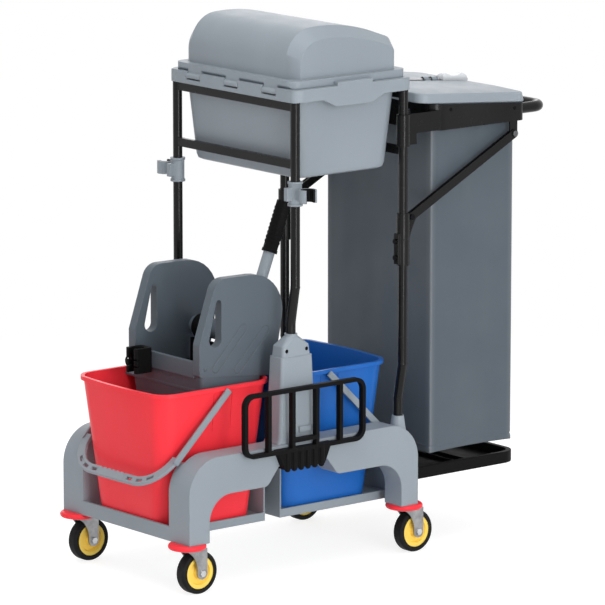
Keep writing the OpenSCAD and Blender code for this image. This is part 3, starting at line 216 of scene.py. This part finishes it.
def powder(name, colour, rough):
    """Powder-coated steel: orange-peel bump, rubbed edges."""
    g = Graph(name)
    normal = g.rounded(0.0012)
    rub = g.math("MULTIPLY", g.edges(normal), g.span(g.noise(60, 3), 0.4, 0.7, 0.0, 1.0))
    tone = g.mix(g.span(g.noise(6, 3), 0.3, 0.7, 0.0, 1.0), darker(colour, 0.8), lighter(colour, 0.004))
    tone = g.mix(g.math("MULTIPLY", rub, 0.22), tone, srgb(110, 110, 112))
    g.link(tone, g.bsdf.inputs["Base Color"])
    g.link(g.span(g.noise(45, 3), 0.3, 0.7, rough - 0.06, rough + 0.07), g.bsdf.inputs["Roughness"])
    g.link(g.bump(g.noise(820, 3, 0.55), 0.025, 0.0005, normal), g.bsdf.inputs["Normal"])
    g.bsdf.inputs["Specular IOR Level"].default_value = 0.20
    return g.mat


def plated(name, colour, rough, axis):
    """Zinc-plated steel: faint brushing along one axis and cloudy tone."""
    g = Graph(name)
    lines = [900, 900, 900]
    lines[axis] = 25
    brush = g.noise(1.0, 3, 0.6, g.stretch(*lines))
    cloud = g.noise(55, 4, 0.6)
    tone = g.mix(g.span(cloud, 0.3, 0.7, 0.0, 1.0), darker(colour, 0.78), lighter(colour, 0.12))
    g.link(tone, g.bsdf.inputs["Base Color"])
    g.bsdf.inputs["Metallic"].default_value = 1.0
    g.link(g.span(brush, 0.3, 0.7, rough - 0.07, rough + 0.09), g.bsdf.inputs["Roughness"])
    g.link(g.bump(brush, 0.06, 0.0003, g.rounded(0.0008)), g.bsdf.inputs["Normal"])
    return g.mat


def rubber(name, colour, rough, dust):
    """Solid rubber: matt, fine pores, a little dust."""
    g = Graph(name)
    normal = g.rounded(0.001)
    tone = g.mix(g.span(g.noise(30, 5, 0.65), 0.45, 0.75, 0.0, dust), colour, srgb(120, 116, 110))
    g.link(tone, g.bsdf.inputs["Base Color"])
    g.link(g.span(g.noise(80, 3), 0.3, 0.7, rough - 0.06, rough + 0.08), g.bsdf.inputs["Roughness"])
    g.link(g.bump(g.noise(1100, 3, 0.6), 0.2, 0.0004, normal), g.bsdf.inputs["Normal"])
    g.bsdf.inputs["Specular IOR Level"].default_value = 0.12
    return g.mat


def coated_cloth(name, colour):
    """PVC-coated bag cloth: the weave shows faintly through a satin coat, and a painted highlight runs
    along the creased corners.
    """
    g = Graph(name)
    weave = None
    for scale in ((1.0, 1.0, 0.0), (0.0, 0.0, 1.0)):
        wave = g.add("ShaderNodeTexWave", wave_type="BANDS", bands_direction="DIAGONAL")
        wave.inputs["Scale"].default_value = 190
        wave.inputs["Distortion"].default_value = 0.4
        g.link(g.stretch(*scale), wave.inputs["Vector"])
        weave = wave.outputs["Fac"] if weave is None else g.math("MULTIPLY", weave, wave.outputs["Fac"])
    cloud = g.noise(5.5, 4, 0.55)
    tone = g.mix(g.span(cloud, 0.3, 0.7, 0.0, 1.0), darker(colour, 0.97), lighter(colour, 0.012))
    tone = g.mix(g.span(weave, 0.0, 1.0, 0.10, 0.0), tone, darker(colour, 0.7))
    # Painted highlight: the cloth is lighter along the bag's vertical corners, where the crease
    # attribute is high
    crease = g.add("ShaderNodeAttribute", attribute_name="crease").outputs["Fac"]
    tone = g.mix(g.math("MULTIPLY", crease, 0.55), tone, lighter(colour, 0.16))
    g.link(tone, g.bsdf.inputs["Base Color"])
    g.link(g.span(g.noise(12, 4), 0.3, 0.7, 0.44, 0.58), g.bsdf.inputs["Roughness"])
    soft = g.bump(g.noise(9, 3, 0.5, g.stretch(1, 1, 0.4)), 0.10, 0.005)
    g.link(g.bump(weave, 0.12, 0.0004, soft), g.bsdf.inputs["Normal"])
    g.bsdf.inputs["Sheen Weight"].default_value = 0.08
    g.bsdf.inputs["Specular IOR Level"].default_value = 0.35
    return g.mat


MATS = {
    # The grey and slate plastics' strong edge lightening is mostly a painted highlight along their edges
    "grey_plastic": moulded("grey_plastic", GREY, 0.42, 0.0036, edge_wear_and_highlight=0.34),
    "slate_plastic": moulded("slate_plastic", SLATE, 0.46, 0.0032, 0.14, 0.30),
    "red_plastic": moulded("red_plastic", RED, 0.38, 0.0015, 0.05, 0.06, spec=0.20),
    "blue_plastic": moulded("blue_plastic", BLUE, 0.38, 0.0015, 0.05, 0.06, spec=0.22),
    "yellow_plastic": moulded("yellow_plastic", YELLOW, 0.42, 0.0010, 0.06),
    "black_plastic": moulded("black_plastic", srgb(17, 17, 18), 0.52, 0.0014, 0.12, 0.05, spec=0.06),
    "pale_plastic": moulded("pale_plastic", srgb(214, 218, 222), 0.22, 0.0012, 0.03, 0.05, 0.3),
    "black_steel": powder("black_steel", srgb(13, 13, 14), 0.22),
    "bright_steel": plated("bright_steel", srgb(205, 206, 208), 0.28, 1),
    "fork_steel": plated("fork_steel", srgb(150, 150, 152), 0.34, 2),
    "tyre": rubber("tyre", srgb(22, 22, 23), 0.60, 0.05),
    "black_rubber": rubber("black_rubber", srgb(17, 17, 18), 0.36, 0.03),
    "bag_fabric": coated_cloth("bag_fabric", BAG),
}
BOLT_STEEL = plated("bolt_steel", srgb(104, 105, 107), 0.30, 1)
BOLT_DARK = srgb(30, 30, 32)


def two_tone(material, far, axis, limit):
    """Copy of a material that takes another colour where an object coordinate is below a limit."""
    twin = material.copy()
    g = Graph.on_tree(twin.node_tree)
    shader = twin.node_tree.nodes["Principled BSDF"]
    socket = shader.inputs["Base Color"]
    first = socket.links[0].from_socket
    split = g.add("ShaderNodeSeparateXYZ")
    coord = g.add("ShaderNodeTexCoord").outputs["Object"]
    g.link(coord, split.inputs[0])
    g.link(g.mix(g.math("LESS_THAN", split.outputs[axis], limit), first, far), socket)
    return twin


slot_of = {s["node"]: s["material_slot"] for s in frame["record"]["subparts"]}
for name, obj in nodes.items():
    obj.data.materials.clear()
    obj.data.materials.append(MATS[slot_of[name]])
nodes["bag_holder_bolts"].data.materials[0] = two_tone(BOLT_STEEL, BOLT_DARK, 0, BOLT_DARK_X)
nodes["wringer_lever"].data.materials[0] = two_tone(MATS["grey_plastic"], SLATE, 2, LEVER_SLATE_Z)


def smoothing():
    """Geometry nodes that join split vertices and shade edges flatter than 32 degrees smooth."""
    tree = bpy.data.node_groups.new("smoothing", "GeometryNodeTree")
    for way in ("INPUT", "OUTPUT"):
        tree.interface.new_socket("Mesh", in_out=way, socket_type="NodeSocketGeometry")
    join = tree.nodes.new("GeometryNodeMergeByDistance")
    join.inputs["Distance"].default_value = 0.00002
    bare = tree.nodes.new("GeometryNodeRemoveAttribute")
    bare.inputs["Name"].default_value = "custom_normal"
    faces = tree.nodes.new("GeometryNodeSetShadeSmooth")
    faces.domain = "FACE"
    edges = tree.nodes.new("GeometryNodeSetShadeSmooth")
    edges.domain = "EDGE"
    bend = tree.nodes.new("GeometryNodeInputMeshEdgeAngle")
    steep = tree.nodes.new("FunctionNodeCompare")
    steep.inputs[1].default_value = math.radians(32)
    tree.links.new(bend.outputs["Unsigned Angle"], steep.inputs[0])
    sharp = tree.nodes.new("GeometryNodeSetShadeSmooth")
    sharp.domain = "EDGE"
    sharp.inputs["Shade Smooth"].default_value = False
    tree.links.new(steep.outputs[0], sharp.inputs["Selection"])
    chain = [tree.nodes.new("NodeGroupInput"), join, bare, faces, edges, sharp,
             tree.nodes.new("NodeGroupOutput")]
    for a, b in zip(chain, chain[1:]):
        tree.links.new(a.outputs[0], b.inputs[0])
    return tree


SMOOTHING = smoothing()


def finish_edges(name, width):
    """Smooths a node's facets and, where a width is given, rounds its hard edges, by modifiers alone."""
    obj = nodes[name]
    obj.modifiers.new("smoothing", "NODES").node_group = SMOOTHING
    if width:
        bevel = obj.modifiers.new("bevel", "BEVEL")
        bevel.width = width
        bevel.segments = 3
        bevel.limit_method = "ANGLE"
        bevel.angle_limit = math.radians(38)
        bevel.use_clamp_overlap = False
        bevel.miter_outer = "MITER_ARC"
    even = obj.modifiers.new("even", "WEIGHTED_NORMAL")
    even.keep_sharp = True
    even.weight = 80


EDGES = {"bag_lid_left": 0.003, "bag_lid_right": 0.003, "bag_platform": 0.002}
for name in ("supply_lid", "supply_tub", "wringer_body", "post_shroud_left", "post_shroud_right",
             "red_bucket", "blue_bucket", "chassis", "bag_lid_left", "bag_lid_right", "bag_platform"):
    finish_edges(name, EDGES.get(name, 0.0))


def new_piece(name, bm, material, smooth):
    """Object from a bmesh that rides on the cart, in its own material slot."""
    mesh = bpy.data.meshes.new(name)
    bmesh.ops.recalc_face_normals(bm, faces=bm.faces)
    bm.to_mesh(mesh)
    bm.free()
    if smooth:
        for poly in mesh.polygons:
            poly.use_smooth = True
    obj = bpy.data.objects.new(name, mesh)
    scene.collection.objects.link(obj)
    mesh.materials.append(MATS[material])
    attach(obj, "cart")
    return obj


def rect_loop(l, w, front, rear):
    """Points round a rectangle, from the front left corner on, with radii for front and rear corners."""
    quarter = math.pi / 2
    corners = [(-1, -1, front), (1, -1, rear), (1, 1, rear), (-1, 1, front)]
    pts = []
    for i, (sx, sy, r) in enumerate(corners):
        cx, cy = sx * (l / 2 - r), sy * (w / 2 - r)
        a0 = math.pi + i * quarter
        arc = [(cx + r * math.cos(a0 + k / CORNER_STEPS * quarter),
                cy + r * math.sin(a0 + k / CORNER_STEPS * quarter)) for k in range(CORNER_STEPS + 1)]
        pts.extend(arc)
        nx, ny, nr = corners[(i + 1) % 4]
        ncx, ncy = nx * (l / 2 - nr), ny * (w / 2 - nr)
        a1 = a0 + quarter
        end = (ncx + nr * math.cos(a1), ncy + nr * math.sin(a1))
        x, y = arc[-1]
        for k in range(1, SIDE_STEPS):
            t = k / SIDE_STEPS
            pts.append((x + (end[0] - x) * t, y + (end[1] - y) * t))
    return pts


def bridge(bm, rings):
    """Faces between each ring of points and the next."""
    for a, b in zip(rings, rings[1:]):
        n = len(a)
        for i in range(n):
            bm.faces.new((a[i], a[(i + 1) % n], b[(i + 1) % n], b[i]))


def slope_z(x):
    """Height of the hoop's upper edge at x."""
    return SLOPE_Z - (x - HOOP_X) * math.tan(SLOPE)


def bump_at(value, centre, width):
    """1 at the centre, falling to 0 over the width."""
    return math.exp(-((value - centre) / width) ** 2)


def bag_offset(x, y, t):
    """Soft departure of the bag's wall from its flat panels at height t from 0 to 1."""
    u = x / (BAG_L / 2)
    v = y / (BAG_W / 2)
    along_x = max(0.0, 1 - v * v)
    along_y = max(0.0, 1 - u * u)
    belly = math.sin(math.pi * min(1.0, t * 1.2)) ** 2
    ripple = 0.0014 * math.sin(7 * v + 2.3 * math.sin(3 * t)) + 0.0010 * math.sin(15 * v + 4 * t + 1)
    ripple_side = 0.0012 * math.sin(6 * u + 2 * math.sin(4 * t + 1)) + 0.0008 * math.sin(13 * u - 3 * t)
    gather = bump_at(t, 1.0, 0.06)
    fade = 0.25 + 0.5 * t + 1.3 * gather
    fold = 0.0035 * gather * bump_at(u, 0.66, 0.22) * math.sin(26 * u + 40 * t)
    # The front panel is drawn in, clear of the swinging bail
    swell = 0.0040 if u > 0 else -0.0022
    dx = dy = 0.0
    if abs(u) > 0.9:
        dx = math.copysign(1, u) * (swell * belly + ripple * fade) * along_x
    if abs(v) > 0.9:
        dy = math.copysign(1, v) * ((0.0034 * belly + ripple_side * fade) * along_y + fold)
    return dx, dy


def bag_rows():
    """Heights of the bag's rings from 0 to 1, close together at the hem and under the hoop."""
    return sorted({round(k / 46, 5) for k in range(47)} | {round(k * 0.0022, 5) for k in range(1, 16)}
                  | {round(1 - k * 0.006, 5) for k in range(1, 12)})


def make_bag():
    """Box-shaped cloth bag: soft panels, creased edges, sewn hem and a cuff over the hoop."""
    bm = bmesh.new()
    rows = bag_rows()
    crease = 0.0016
    near_side = BAG_CORNER + 0.001
    rim_lift, cuff_t = 0.0003, 0.0019
    height = SLOPE_Z - BAG_Z
    loop = rect_loop(BAG_L, BAG_W, BAG_CORNER, BAG_CORNER)
    shells = []
    for inset in (0.0, BAG_WALL):
        rings = []
        for t in rows:
            ring = []
            for x, y in loop:
                dx, dy = bag_offset(x, y, t)
                sx, sy = 1 - 2 * inset / BAG_L, 1 - 2 * inset / BAG_W
                corner = math.hypot(abs(x) - BAG_L / 2, abs(y) - BAG_W / 2)
                edge = bump_at(corner, 0.0, BAG_CORNER)
                hem = bump_at(t * height, 0.015, 0.0022) if inset == 0 else 0.0
                out = crease * edge - 0.0013 * hem + 0.0006 * bump_at(t * height, 0.004, 0.008)
                px, py = x * sx + dx, y * sy + dy
                if abs(x) > BAG_L / 2 - near_side:
                    px += math.copysign(out, x)
                if abs(y) > BAG_W / 2 - near_side:
                    py += math.copysign(out, y)
                top = slope_z(HOOP_X + px) - 0.0004
                low = BAG_Z + inset + 0.003 * math.sin(math.pi * (x / BAG_L + 0.5))
                ring.append(bm.verts.new((HOOP_X + px, py, low + (top - low) * t)))
            rings.append(ring)
        bridge(bm, rings)
        shells.append(rings)
    # Bottom: each skin closes in shrinking rings that rise a little towards the middle
    bottom_rings, rise = 7, 0.004
    for rings in shells:
        last = rings[0]
        for j in range(1, bottom_rings):
            k = 1 - j / bottom_rings
            ring = [bm.verts.new((HOOP_X + (v.co.x - HOOP_X) * k, v.co.y * k, v.co.z + rise * (1 - k)))
                    for v in rings[0]]
            bridge(bm, [last, ring])
            last = ring
        bm.faces.new(last)
    # Cuff: out over the hoop's upper edge and back, closed to the inner skin
    outer, inner = shells[0][-1], shells[1][-1]
    cuff_loop = rect_loop(HOOP_L - 0.001, HOOP_W - 0.001, HOOP_R_FRONT, HOOP_R_REAR)
    rim_low, rim_high = [], []
    for x, y in cuff_loop:
        z = slope_z(HOOP_X + x)
        rim_low.append(bm.verts.new((HOOP_X + x, y, z + rim_lift)))
        rim_high.append(bm.verts.new((HOOP_X + x, y, z + cuff_t)))
    inner_high = [bm.verts.new((v.co.x, v.co.y, slope_z(v.co.x) + cuff_t)) for v in inner]
    bridge(bm, [outer, rim_low, rim_high, inner_high, inner])
    bag = new_piece("waste_bag_cloth", bm, "bag_fabric", smooth=True)
    # The crease attribute marks the corners where the cloth takes a painted highlight
    crease_highlight = bag.data.attributes.new("crease", "FLOAT", "POINT")
    for v in bag.data.vertices:
        off = math.hypot(abs(v.co.x - HOOP_X) - BAG_L / 2, abs(v.co.y) - BAG_W / 2)
        crease_highlight.data[v.index].value = bump_at(off, 0.0, 0.0055)
    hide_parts("waste_bag")


def screw_head(name, place, way, r, material):
    """Domed screw with a cross recess, its axis along Y; way is the side that it faces."""
    bm = bmesh.new()
    steps = 24
    angles = [2 * math.pi * i / steps for i in range(steps)]

    def point(a, k, h):
        """Point at angle a, with its radius and its height as shares of the head's radius."""
        return bm.verts.new((place[0] + r * k * math.cos(a), place[1] + way * r * h,
                             place[2] + r * k * math.sin(a)))

    profile = [(1.0, 0.0), (1.0, 0.10), (0.93, 0.30), (0.74, 0.46), (0.46, 0.55)]
    rings = [[point(a, k, h) for a in angles] for k, h in profile]
    bridge(bm, rings)
    # The middle dips where it lies in one of the cross's two slots
    star = []
    for a in angles:
        slot = min(abs(math.sin(a)), abs(math.cos(a))) < 0.3
        star.append(point(a, 0.40, 0.22) if slot else point(a, 0.18, 0.58))
    bridge(bm, [rings[-1], star])
    bm.faces.new(star)
    new_piece(name, bm, material, smooth=False)


def disc_ring(bm, centre, r, z, steps=40):
    """Level circle of points."""
    return [bm.verts.new((centre[0] + r * math.cos(a), centre[1] + r * math.sin(a), z))
            for a in (2 * math.pi * i / steps for i in range(steps))]


def soft_box(bm, low, high, soft):
    """Box between two corners with rounded edges."""
    made = bmesh.ops.create_cube(bm, size=1.0)["verts"]
    for v in made:
        v.co = Vector([lo + (hi - lo) * (c + 0.5) for lo, hi, c in zip(low, high, v.co)])
    edges = list({e for v in made for e in v.link_edges})
    bmesh.ops.bevel(bm, geom=edges, offset=soft, segments=3, profile=0.5, affect="EDGES")


def plate_y(bm, outline, y, half, soft):
    """Plate across Y from an XZ outline, with its edges broken."""
    rings = []
    mid = (sum(p[0] for p in outline) / len(outline), sum(p[1] for p in outline) / len(outline))
    for dy, k in ((-half, soft), (soft - half, 0.0), (half - soft, 0.0), (half, soft)):
        ring = []
        for x, z in outline:
            off_x, off_z = x - mid[0], z - mid[1]
            share = 1 - k / math.hypot(off_x, off_z)
            ring.append(bm.verts.new((mid[0] + off_x * share, y + dy, mid[1] + off_z * share)))
        rings.append(ring)
    bridge(bm, rings)
    bm.faces.new(rings[0])
    bm.faces.new(rings[-1])


def brace_clamp(word):
    """Split sleeve on the post with a bolted block in front and a slim curved gusset under the brace."""
    low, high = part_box(f"brace_clamp_{word}")
    side = 1 if low.y > 0 else -1
    block_x, sleeve_r, root_x, root_z = 0.0215, 0.0155, 0.0125, 0.014
    axis = (low.x + block_x, (low.y + high.y) / 2)
    foot = low.z
    bm = bmesh.new()
    # Sleeve: bore, outside with its split line, and broken ends
    rings = [disc_ring(bm, axis, r, foot + z) for r, z in (
        (0.0112, 0.0), (0.0147, 0.0), (sleeve_r, 0.0008), (sleeve_r, 0.0605), (0.0148, 0.0612),
        (0.0148, 0.0618), (sleeve_r, 0.0625), (sleeve_r, 0.1212), (0.0147, 0.1220), (0.0112, 0.1220))]
    bridge(bm, rings + [rings[0]])
    soft_box(bm, (axis[0] - block_x, axis[1] - 0.008, foot + 0.004),
             (axis[0] - root_x, axis[1] + 0.008, foot + 0.076), 0.0012)
    # Gusset: a hollow curve from the sleeve up to the brace's pivot
    curve = [(sleeve_r + 0.0285 * k ** 1.9, root_z + 0.0935 * k) for k in (i / 14 for i in range(15))]
    head = [(0.0362, 0.1125), (0.0332, 0.1158), (0.0265, 0.1190), (root_x, 0.1190)]
    outline = [(axis[0] + x, foot + z) for x, z in [(root_x, root_z)] + curve + head]
    plate_y(bm, outline, side * 0.212, 0.0025, 0.0005)
    piece = new_piece(f"brace_clamp_{word}_slim", bm, "black_steel", smooth=False)
    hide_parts(f"brace_clamp_{word}")


make_bag()
for word in ("left", "right"):
    brace_clamp(word)

# Screws of the wringer's side plates and of the hoop
SIDES = ((-1, "right"), (1, "left"))
CHEEK_X, CHEEK_Y, CHEEK_Z = HOOP_X - HOOP_MID_X - 0.186, 0.133, 0.496
HOOP_SCREW_DROP = 0.013
for side, word in SIDES:
    screw_head(f"cheek_screw_{word}", (CHEEK_X, side * CHEEK_Y, CHEEK_Z), side, 0.0045, "slate_plastic")
for side, word in SIDES:
    for share, at in ((0.20, "front"), (0.88, "rear")):
        x = hoop_low.x + share * HOOP_L
        place = (x, side * HOOP_W / 2, slope_z(x) - HOOP_SCREW_DROP)
        screw_head(f"hoop_screw_{word}_{at}", place, side, 0.0042, "black_plastic")

# Floor and light
FLOOR = 40.0
floor_mesh = bpy.data.meshes.new("floor")
floor_corners = [(-FLOOR, -FLOOR, 0), (FLOOR, -FLOOR, 0), (FLOOR, FLOOR, 0), (-FLOOR, FLOOR, 0)]
floor_mesh.from_pydata(floor_corners, [], [(0, 1, 2, 3)])
floor = bpy.data.objects.new("floor", floor_mesh)
scene.collection.objects.link(floor)


def seen_ray(g):
    """1 for rays from the camera, off a glossy surface or through glass."""
    path = g.add("ShaderNodeLightPath")
    seen = g.math("MAXIMUM", path.outputs["Is Camera Ray"], path.outputs["Is Glossy Ray"])
    return g.math("MAXIMUM", seen, path.outputs["Is Transmission Ray"])


def floor_material():
    """Pale floor that shows white, with the soft shadow near the object, and plain white far off."""
    g = Graph("floor")
    lit = g.add("ShaderNodeBsdfDiffuse")
    lit.inputs["Color"].default_value = (0.80, 0.80, 0.80, 1)
    near_glow = g.add("ShaderNodeEmission")
    near_glow.inputs["Strength"].default_value = 0.80
    shade = g.add("ShaderNodeBsdfDiffuse")
    shade.inputs["Color"].default_value = (0.40, 0.40, 0.40, 1)
    near = g.add("ShaderNodeAddShader")
    g.link(near_glow.outputs[0], near.inputs[0])
    g.link(shade.outputs[0], near.inputs[1])
    far = g.add("ShaderNodeEmission")
    far.inputs["Strength"].default_value = 1.0
    reach = g.add("ShaderNodeVectorMath", operation="LENGTH")
    g.link(g.coord, reach.inputs[0])
    seen = g.add("ShaderNodeMixShader")
    g.link(g.span(reach.outputs["Value"], 1.1, 2.6, 0.0, 1.0), seen.inputs[0])
    g.link(near.outputs[0], seen.inputs[1])
    g.link(far.outputs[0], seen.inputs[2])
    pick = g.add("ShaderNodeMixShader")
    g.link(seen_ray(g), pick.inputs[0])
    g.link(lit.outputs[0], pick.inputs[1])
    g.link(seen.outputs[0], pick.inputs[2])
    g.link(pick.outputs[0], g.tree.nodes["Material Output"].inputs["Surface"])
    return g.mat


floor_mesh.materials.append(floor_material())


def studio_world(strength):
    """Even white light; the camera, reflections and glass see plain white."""
    world = bpy.data.worlds.new("studio")
    world.use_nodes = True
    g = Graph.on_tree(world.node_tree)
    light = world.node_tree.nodes["Background"]
    light.inputs["Color"].default_value = (1, 1, 1, 1)
    light.inputs["Strength"].default_value = strength
    white = g.add("ShaderNodeBackground")
    white.inputs["Color"].default_value = (1, 1, 1, 1)
    pick = g.add("ShaderNodeMixShader")
    g.link(seen_ray(g), pick.inputs[0])
    g.link(light.outputs[0], pick.inputs[1])
    g.link(white.outputs[0], pick.inputs[2])
    g.link(pick.outputs[0], world.node_tree.nodes["World Output"].inputs["Surface"])
    return world


scene.world = studio_world(0.60)


def area(name, place, target, size, power):
    """Rectangular light that points at a target, its power in watts."""
    light = bpy.data.lights.new(name, "AREA")
    light.shape = "RECTANGLE"
    light.size, light.size_y = size
    light.energy = power
    obj = bpy.data.objects.new(name, light)
    scene.collection.objects.link(obj)
    obj.location = place
    obj.rotation_euler = (Vector(target) - Vector(place)).to_track_quat("-Z", "Y").to_euler()
    return obj


AIM = (0.0, 0.0, 0.6)
area("key", (-0.8, -5.6, 2.3), AIM, (3.0, 3.2), 96)
area("fill", (-5.0, -1.2, 2.2), AIM, (3.0, 3.0), 5)
area("top", (-0.9, -0.7, 5.2), AIM, (4.0, 4.0), 112)
area("back", (2.6, 4.8, 2.7), AIM, (4.0, 4.0), 42)

# Low strip that draws the bright line on the posts; the camera doesn't see it
strip = area("strip", (-0.85, -2.9, 0.50), (-0.1, 0.0, 0.50), (0.62, 1.0), 19)
strip.visible_camera = False

scene.view_settings.view_transform = "Standard"

cam = bpy.data.cameras.new("camera")
cam.lens = CAM_LENS
cam.sensor_width = 36.0
cam.clip_end = 200.0
cam_obj = bpy.data.objects.new("camera", cam)
scene.collection.objects.link(cam_obj)
cam_obj.location = CAM_POS
cam_obj.rotation_euler = (math.radians(90 - CAM_EL), 0.0, math.radians(CAM_AZ))
scene.camera = cam_obj

bpy.context.view_layer.update()
